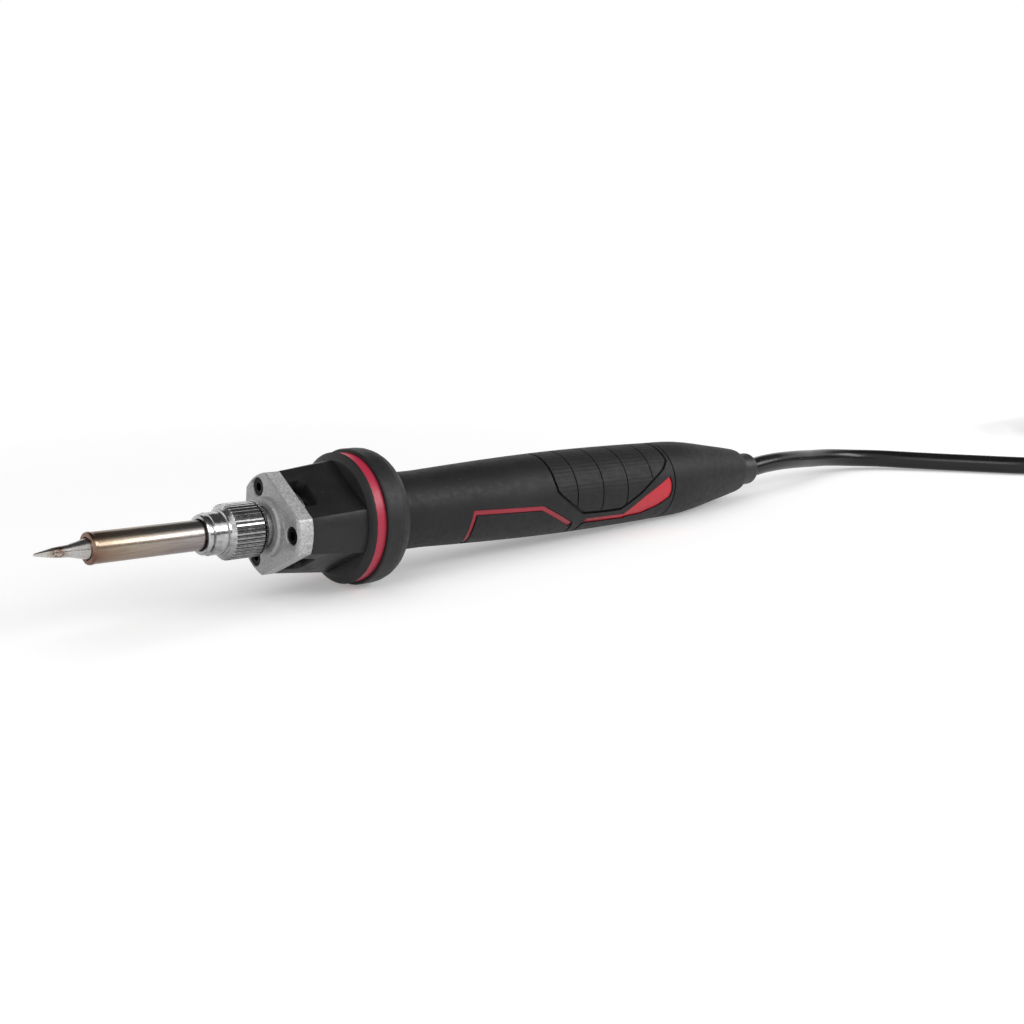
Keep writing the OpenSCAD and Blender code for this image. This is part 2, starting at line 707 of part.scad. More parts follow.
// The tongue of the core and the saddle on it hold the cord
tongue_radius = 2.2*cord_r;
saddle_front = inner_cord_front + end_room;
saddle_ring_radius = 1.36*cord_r;
screw_offset = 1.65*cord_r;
saddle_screw_radius = wire_radius + 2*running_gap;
module cord_tongue() {
    spigot_end = grip_end + cap_spigot_length;
    difference() {
        rod(tongue_radius + over, spigot_end - cap_spigot_length, saddle_front + saddle_length, 64);
        rod(cord_r + seat_gap, grip_end - over, saddle_front + saddle_length + over);
        rod(core_bore_radius - seat_gap, grip_end - over, grip_end + over, 64);
        tube(2*belly_radius, tongue_radius, spigot_end, saddle_front + saddle_length + over);
        translate([grip_end - over, -2*belly_radius, -seat_gap])
            cube([2*saddle_length + 2*inner_cord_length, 4*belly_radius, 2*belly_radius]);
        saddle_holes(-tongue_radius, 0);
    }
}

module saddle_holes(z_from, z_to) {
    for (side = [-1, 1])
        translate([saddle_front + saddle_length/2, side*screw_offset, z_from])
            cylinder(r = saddle_screw_radius + seat_gap, h = z_to - z_from, $fn = 24);
}

module cord_saddle() {
    color([0.75, 0.75, 0.7]) laid() difference() {
        union() {
            intersection() {
                rod(saddle_ring_radius, saddle_front, saddle_front + saddle_length);
                translate([saddle_front, -2*cord_r, 0]) cube([saddle_length, 4*cord_r, 2*cord_r]);
            }
            translate([saddle_front, 0.2*cord_r - tongue_radius, 0])
                cube([saddle_length, 2*tongue_radius - 0.4*cord_r, 0.45*cord_r]);
        }
        rod(cord_r + seat_gap, saddle_front - over, saddle_front + saddle_length + over);
        saddle_holes(-over, cord_r);
    }
}

module saddle_screws() {
    head = 0.45*cord_r;
    color("silver") laid() for (side = [-1, 1])
        translate([saddle_front + saddle_length/2, side*screw_offset, 0]) {
            translate([0, 0, -cord_r]) cylinder(r = saddle_screw_radius, h = cord_r + head, $fn = 24);
            translate([0, 0, head]) cylinder(r = 1.3*saddle_screw_radius, h = 0.4*cord_r, $fn = 24);
        }
}

/* Rear cap and collar */

collar_shank_radius = cord_r + 0.5*cord_r;
cap_inside = cap_end - 2.6*cap_wall*2;
module rear_cap() {
    spigot_room = cap_spigot_radius + seat_gap;
    spigot_stop = grip_end + cap_spigot_length + 2*seat_gap;
    tail = [for (i = [heel_share:cap_last_share]) if (cap_s(i) > spigot_stop + over
        && cap_s(i) < cap_inside - over) i];
    last = len(tail) - 1;
    color([0.12, 0.12, 0.125]) laid() turned(concat(
        [for (i = [0:cap_last_share]) [cap_r(i), cap_s(i)]],
        [[collar_shank_radius + seat_gap, cap_end], [collar_shank_radius + seat_gap, cap_inside],
        [cap_r(tail[last]) - cap_wall, cap_inside]],
        [for (i = [0:last]) [cap_r(tail[last - i]) - cap_wall, cap_s(tail[last - i])]],
        [[cap_r(tail[0]) - cap_wall, spigot_stop], [spigot_room, spigot_stop], [spigot_room, cap_start]]));
}

module cord_collar() {
    bore = cord_r + seat_gap;
    foot = collar_shank_radius + 0.5*cap_wall;
    round_end = 0.2*collar_length;
    color([0.1, 0.1, 0.1]) laid() turned([[bore, cap_inside - cap_wall], [foot, cap_inside - cap_wall],
        [foot, cap_inside - seat_gap], [collar_shank_radius, cap_inside - seat_gap],
        [collar_shank_radius, cap_end + seat_gap], [collar_radius, cap_end + seat_gap],
        [collar_radius, collar_end - round_end],
        for (a = [20:20:80]) [collar_radius - 0.3*collar_radius*(1 - cos(a)),
            collar_end - round_end + round_end*sin(a)],
        [0.68*collar_radius, collar_end], [bore, collar_end]]);
}

/* Cord: the free lead, the hank, its rising end and the tie */

// Heights of the two layers of turns; the lower one lies on the tie
low_turn = cord_r + tie_wall + tie_gap;
turn_pitch = cord_d + turn_gap;
high_turn = low_turn + turn_pitch;
// Middle of the hank, its count of flat turns, and the share of a turn that each straight run takes
hank_centre = [313, -19.2];
flat_turns = 3.5;
run_share = 1/12;
mid_turn = flat_turns/2;
// Turns over which the inmost lane rounds from going in to going out
rounding_turns = 0.1;
function hank_radius(t) = fold_radius + turn_pitch*(norm([t - mid_turn, rounding_turns]) - rounding_turns);
function ease(u) = u <= 0 ? 0 : u >= 1 ? 1 : u*u*(3 - 2*u);
function hank_height(t) = low_turn + turn_pitch*ease(2*(t - mid_turn) + 0.5);

// A point of a long ring with round ends, by turns from the start of its near run
function on_ring(t, r) = let (p = t - floor(t), fold = 0.5 - run_share, c = hank_centre)
    p < run_share ? [c[0] - hank_run/2 + hank_run*p/run_share, c[1] - r]
    : p < 0.5 ? let (a = 180*(p - run_share)/fold - 90) [c[0] + hank_run/2 + r*cos(a), c[1] + r*sin(a)]
    : p < 0.5 + run_share ? [c[0] + hank_run/2 - hank_run*(p - 0.5)/run_share, c[1] + r]
    : let (a = 180*(p - 0.5 - run_share)/fold + 90) [c[0] - hank_run/2 + r*cos(a), c[1] + r*sin(a)];
turn_steps = 24;
hank_steps = flat_turns*turn_steps;
hank_turn_points = [for (i = [0:hank_steps]) let (t = i/turn_steps)
    concat(on_ring(t, hank_radius(t)), hank_height(t))];
hank_start = hank_turn_points[0] - [cord_d, 0, 0];
hank_points = concat([hank_start], hank_turn_points);

// The end of the cord rises off the upper turns to the plug, which lies on the near run
near_lane = hank_radius(2);
far_lane = hank_radius(3);
plug_lane = (near_lane + far_lane)/2;
plug_reach = plug_ring_radius + cord_r + lay_gap;
plug_height = high_turn + sqrt(pow(plug_reach, 2) - pow((far_lane - near_lane)/2, 2));
tail_turns = 0.5;
function tail_height(u) = high_turn + (plug_height - high_turn)*ease(u/0.85);
function tail_point(u) = let (t = flat_turns + tail_turns*u, inward = ease((u - 0.3)/0.7))
    concat(on_ring(t, (1 - inward)*hank_radius(t) + inward*plug_lane), tail_height(u));
tail_steps = tail_turns*turn_steps;
tail_points = [for (i = [0:tail_steps]) tail_point(i/tail_steps)];
tail_end = tail_points[tail_steps];

// Least gap of the wound cord to itself, half a turn or more apart
wound_points = concat(hank_turn_points, [for (i = [1:tail_steps]) tail_points[i]]);
last_wound = len(wound_points) - 1;
wound_gap = min([for (i = [0:last_wound]) for (j = [i + turn_steps/2:1:last_wound])
    norm(wound_points[i] - wound_points[j]) - cord_d]);
echo(wound_gap_mm = wound_gap);
function unit(v) = v/norm(v);
function path_length(p) = len(p) < 2 ? 0 : [for (i = 1, sum = 0; i <= len(p);
    sum = i < len(p) ? sum + norm(p[i] - p[i - 1]) : sum, i = i + 1) sum][len(p) - 1];
echo(hank_length_mm = path_length(hank_points), hank_start_mm = hank_start);
echo(tail_length_mm = path_length(tail_points), tail_end_mm = tail_end);

// Route of the free lead from the collar to the hank
cord_route = [[113.5, 0.1, 8.25], [120.6, 0.4, 8.15], [130.5, 1.6, 7.3], [140.4, 3.4, 6.05],
    [150.3, 4.2, 5], [160, 2.6, 3.9], [168.4, -2.4, 3.3], [175, -9.8, 2.95], [181.2, -18, 2.75],
    [187, -26.4, 2.7], [192.5, -34.7, 2.7], [196.1, -39, 2.7], [200.5, -42.2, 2.7], [205.5, -44.1, 2.7],
    [210.8, -44.8, 2.7], [224, -44.83, 2.7], [242, -44.83, 2.8], [259, -44.83, 3.15], [272, -44.83, 3.4]];
lead_points = concat([placed(collar_end)], cord_route, [hank_start]);
echo(lead_length_mm = path_length(lead_points));

// Direction of a route at one of its points
function heading(p, i) = let (last = len(p) - 1) unit(p[min(i + 1, last)] - p[max(i - 1, 0)]);

// A round tube along points, its rings square to the route; the first and last headings are given
module swept(points, first_heading, last_heading, r, sides) {
    last = len(points) - 1;
    rings = [for (i = [0:last])
        let (along = i == 0 ? first_heading : i == last ? last_heading : heading(points, i),
            side = unit(cross(along, [0, 0, 1])), up = cross(side, along))
        [for (k = [0:sides - 1]) points[i] + r*(side*cos(360*k/sides) + up*sin(360*k/sides))]];
    verts = [for (ring = rings) for (v = ring) v];
    walls = [for (i = [0:last - 1]) for (k = [0:sides - 1])
        let (a = i*sides + k, b = i*sides + (k + 1) % sides, c = a + sides, d = b + sides)
        each [[a, b, d], [a, d, c]]];
    first_cap = [for (k = [1:sides - 2]) [0, k + 1, k]];
    last_cap = [for (k = [1:sides - 2]) [last*sides, last*sides + k, last*sides + k + 1]];
    polyhedron(points = verts, faces = [for (f = concat(walls, first_cap, last_cap)) [f[0], f[2], f[1]]]);
}

module cord_lead() {
    color([0.07, 0.07, 0.07])
        swept(lead_points, [cos(tilt), 0, -sin(tilt)], [1, 0, 0], cord_r, 10);
}

module cord_hank() {
    color([0.07, 0.07, 0.07]) swept(hank_points, [1, 0, 0], [-1, 0, 0], cord_r, 6);
}

module cord_tail() {
    color([0.07, 0.07, 0.07]) swept(tail_points, [-1, 0, 0], [1, 0, 0], cord_r, 10);
}

// Flat tie round the far run
module cord_tie() {
    edge_share = 0.5 + tie_width/(2*hank_run);
    inner = hank_radius(flat_turns - 2 + run_share*edge_share) - cord_r - tie_gap;
    outer = hank_radius(flat_turns + run_share*edge_share) + cord_r + tie_gap;
    top = tail_height(run_share*edge_share/tail_turns) + cord_r + tie_gap;
    color([0.2, 0.2, 0.22])
        translate([hank_centre[0] - tie_width/2, hank_centre[1] + inner - tie_wall, 0]) difference() {
            cube([tie_width, outer - inner + 2*tie_wall, top + tie_wall]);
            translate([-over, tie_wall, tie_wall]) cube([tie_width + 2*over, outer - inner, top - tie_wall]);
        }
}

/* Plug: boot, shell, insert, contacts, screws and locking ring */

// The plug is drawn along +X from the face of the boot and goes on from the end of the cord
module plug_place() {
    translate(tail_end) children();
}
shell_start = plug_boot_length - boot_hold;
shell_end = plug_boot_length + plug_shell_length;
shell_wall = plug_shell_radius - plug_insert_radius;
shell_nose_radius = plug_shell_radius - 0.4*shell_wall;
boot_radius = 1.75*cord_r;
ring_start = shell_end - 0.2*plug_ring_length;
ring_end = ring_start + plug_ring_length;
contact_circle = 0.6*plug_insert_radius;
contact_rear = shell_end - 1.25*insert_hold;

module plug_boot() {
    color([0.1, 0.1, 0.1]) plug_place() turned([[0, 0], [1.35*cord_r, 0], [1.5*cord_r, 0.1*plug_boot_length],
        [boot_radius, plug_boot_length], [0, plug_boot_length]], 48);
}

module plug_shell() {
    neck = boot_radius + seat_gap;
    insert_bore = plug_insert_radius + seat_gap;
    nose_start = ring_start - 3*plug_edge;
    color([0.75, 0.76, 0.78]) plug_place() difference() {
        turned([[neck, shell_start + plug_edge], [neck + plug_edge, shell_start],
            [plug_shell_radius - shell_wall/2, shell_start],
            [plug_shell_radius, shell_start + 0.4*shell_wall], [plug_shell_radius, nose_start - plug_edge/3],
            [shell_nose_radius, nose_start], [shell_nose_radius, shell_end],
            [insert_bore, shell_end], [insert_bore, plug_boot_length + seat_gap],
            [neck, plug_boot_length + seat_gap]], 64);
        for (side = [-1, 1]) plug_screw(side, seat_gap, 2*plug_shell_radius);
    }
}

// A screw across the wall of the shell, or the room for it
module plug_screw(side, spread, length) {
    translate([plug_boot_length + plug_screw_offset, 0, side*(plug_insert_radius + 0.55*shell_wall)])
        cylinder(r = plug_screw_radius + spread, h = length, center = true, $fn = 24);
}

module plug_screws() {
    color([0.6, 0.6, 0.62]) plug_place() for (side = [-1, 1]) plug_screw(side, 0, 1.04*shell_wall);
}

module plug_insert() {
    front = ring_end - insert_depth;
    color([0.15, 0.15, 0.15]) plug_place() difference() {
        rod(plug_insert_radius, shell_end - insert_hold, front);
        for (i = [0:contact_count - 1]) rotate([360*i/contact_count, 0, 0])
            translate([0, 0, contact_circle])
            rod(contact_radius + seat_gap, contact_rear, front + over, 24);
    }
}

module plug_contacts() {
    front = ring_end - 1.5*insert_depth;
    color([0.85, 0.7, 0.3]) plug_place() for (i = [0:contact_count - 1])
        rotate([360*i/contact_count, 0, 0]) translate([0, 0, contact_circle]) difference() {
            rod(contact_radius, contact_rear, front, 24);
            rod(0.55*contact_radius, front - insert_hold/2, front + over, 24);
        }
}

module plug_ring() {
    bore = shell_nose_radius + running_gap;
    thread_bore = plug_ring_radius - plug_ring_wall;
    stop = shell_end + running_gap;
    color([0.78, 0.79, 0.8]) plug_place() difference() {
        turned([[bore, ring_start], [plug_ring_radius - plug_edge, ring_start],
            [plug_ring_radius, ring_start + plug_edge], [plug_ring_radius, ring_end - plug_edge],
            [plug_ring_radius - plug_edge, ring_end], [thread_bore, ring_end],
            [thread_bore, stop], [bore, stop]], 96);
        for (i = [0:plug_flute_count - 1]) rotate([360*i/plug_flute_count, 0, 0])
            translate([0, 0, plug_ring_radius])
            rod(plug_flute_radius, ring_start + 3*plug_edge, ring_end - 3*plug_edge, 16);
    }
}

soldering_tip();
tip_sleeve();
sleeve_nut();
heater_rod();
heater_ferrule();
heater_leads();
threaded_nipple();
front_flange();
flange_screws();
front_housing();
guard_ring();
red_ring();
handle_core();
grip_cover();
thumb_pad();
terminal_board();
front_connector();
rear_connector();
earth_wire();
cord_wires();
inner_cord();
cord_saddle();
saddle_screws();
rear_cap();
cord_collar();
cord_lead();
cord_hank();
cord_tail();
cord_tie();
plug_boot();
plug_shell();
plug_insert();
plug_contacts();
plug_screws();
plug_ring();
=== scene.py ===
import math

import bmesh
import bpy
from mathutils import Matrix, Vector


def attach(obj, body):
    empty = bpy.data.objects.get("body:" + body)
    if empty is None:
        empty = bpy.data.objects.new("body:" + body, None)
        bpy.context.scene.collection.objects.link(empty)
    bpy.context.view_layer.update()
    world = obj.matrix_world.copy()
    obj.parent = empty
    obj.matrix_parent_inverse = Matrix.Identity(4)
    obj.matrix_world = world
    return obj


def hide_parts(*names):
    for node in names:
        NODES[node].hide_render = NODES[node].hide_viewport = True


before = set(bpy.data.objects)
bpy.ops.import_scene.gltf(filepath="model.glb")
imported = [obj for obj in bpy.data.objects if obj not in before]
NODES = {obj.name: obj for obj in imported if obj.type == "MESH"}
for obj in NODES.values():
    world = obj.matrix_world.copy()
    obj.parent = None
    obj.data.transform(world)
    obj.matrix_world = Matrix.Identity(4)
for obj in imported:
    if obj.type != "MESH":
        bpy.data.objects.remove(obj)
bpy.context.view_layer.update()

MM = 0.001
WHITE = (1.0, 1.0, 1.0)
BLACK = (0.0, 0.0, 0.0)

# The handpiece lies along X and leans down towards the cord. A station is a distance in mm along its axis,
# from the point of the bit, which lies HALF_REACH short of the origin and AXIS_LIFT above the bench
TILT = math.radians(3.04664)
HALF_REACH = 106.674
AXIS_LIFT = 19.3593
COLLAR_END = 213.65

# Camera, fitted to the photograph, with its place in metres and its focal length in pixels
EYE = Vector((-0.224423, -0.26665, 0.09094))
VIEW_LINE = Vector((0.6533, 0.7237, -0.2223))
PHOTO_SIDE = 1024
FOCAL_PIXELS = 1500.0
SENSOR = 36.0
CLIP_NEAR = 0.01
CLIP_FAR = 50.0

# Bit and sleeve: the stations where the burnt belt starts, is full, fades and ends, the sleeve's front and
# radius, and the height from the axis up to which its underside is darkened with painted shade
BURNT_BELT = (2.4, 3.8, 5.4, 6.8)
SLEEVE_FRONT = 10.9
SLEEVE_RADIUS = 3.2
SLEEVE_SHADE_TOP = 1.2

# Nut: its outer radius, the height up to which its underside is darkened with painted shade, the start of
# its flutes, and the radii of their valleys and ridges, between which the flutes' painted shade fades
NUT_RADIUS = 6.0
NUT_SHADE_TOP = 1.5
FLUTE_START = 41.6
FLUTE_BLEND = 0.1
FLUTE_FLOOR = 5.74
FLUTE_CREST = 5.99

# Flange: the stations between which its greyer front face gives way to its sides
FLANGE_FACE = 52.9
FLANGE_SIDE = 53.3

# Core: the stations between which its red turns from lines darkened with painted shade to the bright wedge
WEDGE_START = 142.0
WEDGE_FULL = 152.0

# Thumb pad: the radius of its face and the pitch of its fine ribs
PAD_RADIUS = 10.5
PAD_RIB_PITCH = 1.1

# Usual low and high values of a noise node
NOISE_RANGE = (0.3, 0.7)

# Moulded pieces: features to the millimetre of patches and scuffs, and how far the two change a surface
PATCH_SCALE = 0.09
SCUFF_SCALE = 1.1
SCUFF_SHARE = 0.35
ROUGH_SPREAD = 0.07

# Worn edges of the hard pieces: width in mm by node, least angle of an edge in degrees, and the distance in
# mm over which corners are joined first
EDGE_WIDTHS = {"front_flange": 0.28, "front_housing": 0.22, "flange_screws": 0.08}
EDGE_SEGMENTS = 2
EDGE_ANGLE = 28
WELD_REACH = 0.005

# Angles in degrees up to which a surface is shaded smooth
NODE_SMOOTH = 32
STRAP_SMOOTH = 40

# Strap round the hank's far run, with its two sides measured from the hank's centre
STRAP_WIDTH = 9.0
STRAP_WALL = 0.6
STRAP_GAP = 0.2
STRAP_INNER = 13.8
STRAP_OUTER = 28.6
STRAP_HEIGHT = 13.2
STRAP_ROUND = 3.2
STRAP_EDGE = 0.25
STRAP_ARC_STEP = 15
QUARTER_TURN = 90

# Loose end of the strap: equal steps over its top, the last of which bend up
TAB_INSET = 0.4
TAB_GAP = 0.02
TAB_STEP = 0.6
TAB_POINTS = 14
TAB_BEND_START = 9
TAB_BEND_STEPS = 4
TAB_LIFT = 0.5

# Cord: its size, and the route of its free lead over the bench
CORD_D = 5.2
CORD_R = CORD_D / 2
CORD_BEVEL_STEPS = 6
CORD_CURVE_STEPS = 4
LEAD_ROUTE = [(113.5, 0.1, 8.25), (120.6, 0.4, 8.15), (130.5, 1.6, 7.3), (140.4, 3.4, 6.05),
              (150.3, 4.2, 5), (160, 2.6, 3.9), (168.4, -2.4, 3.3), (175, -9.8, 2.95), (181.2, -18, 2.75),
              (187, -26.4, 2.7), (192.5, -34.7, 2.7), (196.1, -39, 2.7), (200.5, -42.2, 2.7),
              (205.5, -44.1, 2.7), (210.8, -44.8, 2.7), (224, -44.83, 2.7), (242, -44.83, 2.8),
              (259, -44.83, 3.15), (272, -44.83, 3.4)]

# Hank: long turns that go inwards on the bench, step up at the middle turn and come outwards again. Each
# straight run takes RUN_SHARE of a turn
TURN_GAP = 0.75
TURN_PITCH = CORD_D + TURN_GAP
LOW_TURN = CORD_R + STRAP_WALL + STRAP_GAP
HIGH_TURN = LOW_TURN + TURN_PITCH
HANK_CENTRE = (313.0, -19.2)
HANK_RUN = 50.0
FOLD_RADIUS = 15.8
FLAT_TURNS = 3.5
MID_TURN = FLAT_TURNS / 2
STEP_TURNS = 0.5
RUN_SHARE = 1 / 12
ROUNDING_TURNS = 0.1
TURN_STEPS = 24

# Tail: half a turn that moves in between two lanes and climbs to the plug, which rests on them
TAIL_TURNS = 0.5
TAIL_INWARD_START = 0.3
TAIL_CLIMB_SHARE = 0.85
PLUG_RING_RADIUS = 9.2
LAY_GAP = 0.3
PLUG_REACH = PLUG_RING_RADIUS + CORD_R + LAY_GAP

# Floor: its side in metres, its tone, and how much it is lifted to white near the origin and far from it,
# with the distances in metres between which the lift grows
FLOOR_SIDE = 14.0
FLOOR_TONE = 0.8
LIFT_NEAR = 0.28
LIFT_FAR = 1.0
LIFT_START = 0.10
LIFT_END = 0.75

# World: its strength as a lamp and as what is seen
WORLD_DIM = 0.35
WORLD_BRIGHT = 1.0

# Dark cards, in metres: centre, direction of the width, direction of the height, width and height
CARD_GLOW = 0.08
CARDS = {
    "card_top": ((0.3, 0.35, 1.1), (1, 0, 0), (0, 1, 0), 4.0, 1.9),
    "card_front": ((0.9, -1.3, 0.22), (1, 0.75, 0), (0, 0, 1), 3.2, 0.42),
}


def place(station):
    """Row-frame point, in metres, of a station on the handpiece axis."""
    return Vector((station * math.cos(TILT) - HALF_REACH, 0.0, AXIS_LIFT - station * math.sin(TILT))) * MM


# Route of the cord, in mm

def ease(u):
    u = min(1.0, max(0.0, u))
    return u * u * (3 - 2 * u)


def hank_radius(t):
    """Radius of the folds after t turns: inwards to the middle turn, then outwards."""
    from_middle = math.hypot(t - MID_TURN, ROUNDING_TURNS) - ROUNDING_TURNS
    return FOLD_RADIUS + TURN_PITCH * from_middle


def on_ring(t, r):
    """A point of a long ring with round ends, by turns from the start of its near run."""
    x, y = HANK_CENTRE
    side = -1 if t % 1 < 0.5 else 1
    q = t % 0.5
    if q < RUN_SHARE:
        return [x + side * HANK_RUN * (0.5 - q / RUN_SHARE), y + side * r]
    a = math.pi * (q - RUN_SHARE) / (0.5 - RUN_SHARE)
    return [x - side * (HANK_RUN / 2 + r * math.sin(a)), y + side * r * math.cos(a)]


def hank_point(t):
    """A point of the hank after t turns, which climbs by one pitch while it passes the middle turn."""
    height = LOW_TURN + TURN_PITCH * ease((t - MID_TURN) / STEP_TURNS + 0.5)
    return Vector((*on_ring(t, hank_radius(t)), height))


NEAR_LANE, FAR_LANE = hank_radius(2), hank_radius(3)
PLUG_LANE = (NEAR_LANE + FAR_LANE) / 2
PLUG_HEIGHT = HIGH_TURN + math.sqrt(PLUG_REACH ** 2 - ((FAR_LANE - NEAR_LANE) / 2) ** 2)


def tail_point(u):
    """A point of the rising tail, from its start at 0 to the plug's boot at 1."""
    t = FLAT_TURNS + TAIL_TURNS * u
    inward = ease((u - TAIL_INWARD_START) / (1 - TAIL_INWARD_START))
    r = (1 - inward) * hank_radius(t) + inward * PLUG_LANE
    return Vector((*on_ring(t, r), HIGH_TURN + (PLUG_HEIGHT - HIGH_TURN) * ease(u / TAIL_CLIMB_SHARE)))


PLUG_FOOT = tail_point(1) * MM


def add_object(name, data):
    obj = bpy.data.objects.new(name, data)
    bpy.context.scene.collection.objects.link(obj)
    return obj


# Camera

camera_data = bpy.data.cameras.new("camera")
camera_data.sensor_width = SENSOR
camera_data.sensor_height = SENSOR
camera_data.sensor_fit = "HORIZONTAL"
camera_data.lens = SENSOR * FOCAL_PIXELS / PHOTO_SIDE
camera_data.clip_start = CLIP_NEAR
camera_data.clip_end = CLIP_FAR
camera = add_object("camera", camera_data)
camera.matrix_world = Matrix.Translation(EYE) @ VIEW_LINE.to_track_quat("-Z", "Y").to_matrix().to_4x4()
bpy.context.scene.camera = camera


# Shader nodes

def feed(tree, socket, value):
    """Links a node's output to a socket, or sets the socket to a plain value."""
    if isinstance(value, bpy.types.NodeSocket):
        tree.links.new(value, socket)
    elif isinstance(value, tuple) and socket.type == "RGBA":
        socket.default_value = (*value, 1.0)
    else:
        socket.default_value = value


def add_node(tree, kind, inputs=None, **props):
    """A shader node with its properties set and its inputs fed, each by its name or number."""
    made = tree.nodes.new("ShaderNode" + kind)
    for key, value in props.items():
        setattr(made, key, value)
    for key, value in (inputs or {}).items():
        feed(tree, made.inputs[key], value)
    return made


def bare_tree(data):
    """The emptied node tree of a material or world."""
    data.use_nodes = True
    data.node_tree.nodes.clear()
    return data.node_tree


class Look:
    """A principled material and short calls for the nodes that feed it.

    Further sockets of the shader are named with underscores for spaces.
    """

    def __init__(self, name, colour=(0.5, 0.5, 0.5), rough=0.5, metal=0.0, **sockets):
        self.mat = bpy.data.materials.new(name)
        self.mat.use_nodes = True
        self.tree = self.mat.node_tree
        self.shader = self.tree.nodes["Principled BSDF"]
        self.set("Base Color", colour)
        self.set("Roughness", rough)
        self.set("Metallic", metal)
        for key, value in sockets.items():
            self.set(key.replace("_", " "), value)

    def set(self, socket, value):
        feed(self.tree, self.shader.inputs[socket], value)

    def fed_by(self, socket):
        """The node output that feeds one of the shader's sockets."""
        return self.shader.inputs[socket].links[0].from_socket

    def node(self, kind, inputs=None, **props):
        return add_node(self.tree, kind, inputs, **props)

    def coords(self, kind="hand"):
        """Millimetres in the frame of the handpiece (X is the station), of the row, or of the plug."""
        object_coords = self.node("TexCoord").outputs["Object"]
        place_of = {
            "hand": ((-HALF_REACH * MM, 0.0, AXIS_LIFT * MM), (0.0, TILT, 0.0)),
            "row": ((0.0, 0.0, 0.0), (0.0, 0.0, 0.0)),
            "plug": (tuple(PLUG_FOOT), (0.0, 0.0, 0.0)),
        }
        location, rotation = place_of[kind]
        return self.node("Mapping", {"Vector": object_coords, "Location": location, "Rotation": rotation,
                                     "Scale": (MM, MM, MM)}, vector_type="TEXTURE").outputs["Vector"]

    def stretch(self, vector, scale):
        made = self.node("Mapping", {"Vector": vector, "Scale": scale}, vector_type="POINT")
        return made.outputs["Vector"]

    def noise(self, vector, scale, detail=3.0, rough=0.55):
        """Noise with `scale` features to the millimetre."""
        return self.node("TexNoise", {"Vector": vector, "Scale": scale, "Detail": detail,
                                      "Roughness": rough}).outputs["Fac"]

    def cloud(self, vector, scale, detail, to_low=0.0, to_high=1.0):
        """Noise whose usual values are spread from `to_low` to `to_high`."""
        return self.span(self.noise(vector, scale, detail), *NOISE_RANGE, to_low, to_high)

    def rings(self, vector, along, around, detail):
        """Noise in fine rings, as turning leaves them, with its features to the millimetre both ways."""
        return self.noise(self.stretch(vector, (along, around, around)), 1.0, detail)

    def voronoi(self, vector, scale):
        return self.node("TexVoronoi", {"Vector": vector, "Scale": scale}).outputs["Distance"]

    def axis(self, vector, name):
        return self.node("SeparateXYZ", {"Vector": vector}).outputs[name]

    def math(self, operation, a, b=0.0):
        return self.node("Math", {0: a, 1: b}, operation=operation).outputs[0]

    def span(self, value, low, high, to_low=0.0, to_high=1.0):
        """A value between `low` and `high`, spread from `to_low` to `to_high`."""
        return self.node("MapRange", {"Value": value, "From Min": low, "From Max": high, "To Min": to_low,
                                      "To Max": to_high}).outputs["Result"]

    def ramp(self, fac, stops):
        """Colours by a factor, from (share, colour) pairs."""
        made = self.node("ValToRGB", {"Fac": fac})
        while len(made.color_ramp.elements) < len(stops):
            made.color_ramp.elements.new(0.5)
        for element, (at, colour) in zip(made.color_ramp.elements, stops):
            element.position = at
            element.color = (*colour, 1.0)
        return made.outputs["Color"]

    def station_ramp(self, shift, stops):
        """Colours along the axis, from (station, colour) pairs, with the station moved by `shift` mm."""
        station = self.math("ADD", self.axis(self.coords(), "X"), shift)
        low, high = stops[0][0], stops[-1][0]
        shares = [((at - low) / (high - low), colour) for at, colour in stops]
        return self.ramp(self.span(station, low, high), shares)

    def mix(self, fac, a, b, kind="MIX"):
        """Blend of two colours; a factor of 0 gives the first."""
        return self.node("Mix", {0: fac, 6: a, 7: b}, data_type="RGBA", blend_type=kind).outputs[2]

    def shade_below(self, base, vector, radius, top, tint):
        """Painted shade: the base colour, darkened by `tint` at the underside of a round piece up to `top`.
        """
        height = self.span(self.axis(vector, "Z"), -radius, top)
        return self.mix(1.0, base, self.mix(height, tint, WHITE), "MULTIPLY")

    def bump(self, height, depth, strength):
        """Bump whose full height is `depth` mm."""
        bumped = self.node("Bump", {"Height": height, "Distance": depth * MM, "Strength": strength})
        self.set("Normal", bumped.outputs["Normal"])


# Materials

def tip_metal():
    """Tinned point, a burnt and crusted belt behind it, and a duller shank."""
    look = Look("tip_metal", rough=0.22, metal=1.0)
    v = look.coords()
    shift = look.cloud(v, 1.6, 4.0, -0.5, 0.5)
    clean = look.station_ramp(shift, [(0.0, (0.60, 0.59, 0.57)), (3.2, (0.56, 0.54, 0.51)),
                                      (6.4, (0.46, 0.44, 0.42)), (8.0, (0.50, 0.49, 0.48)),
                                      (SLEEVE_FRONT, (0.42, 0.40, 0.38))])
    fine = look.noise(v, 3.0, 5.0)
    base = look.mix(look.span(fine, 0.45, 0.75, 0.0, 0.4), clean, (0.20, 0.15, 0.12))
    burnt = look.station_ramp(shift, list(zip(BURNT_BELT, (BLACK, WHITE, WHITE, BLACK))))
    patches = look.span(look.noise(v, 1.9, 4.0, 0.6), 0.38, 0.56)
    crust = look.mix(look.noise(v, 4.0, 3.0), (0.10, 0.065, 0.05), (0.25, 0.14, 0.09))
    look.set("Base Color", look.mix(look.math("MULTIPLY", patches, burnt), base, crust))
    look.set("Roughness", look.cloud(v, 3.0, 4.0, 0.16, 0.36))
    look.bump(look.noise(v, 1.8, 4.0), 0.02, 0.4)
    return look


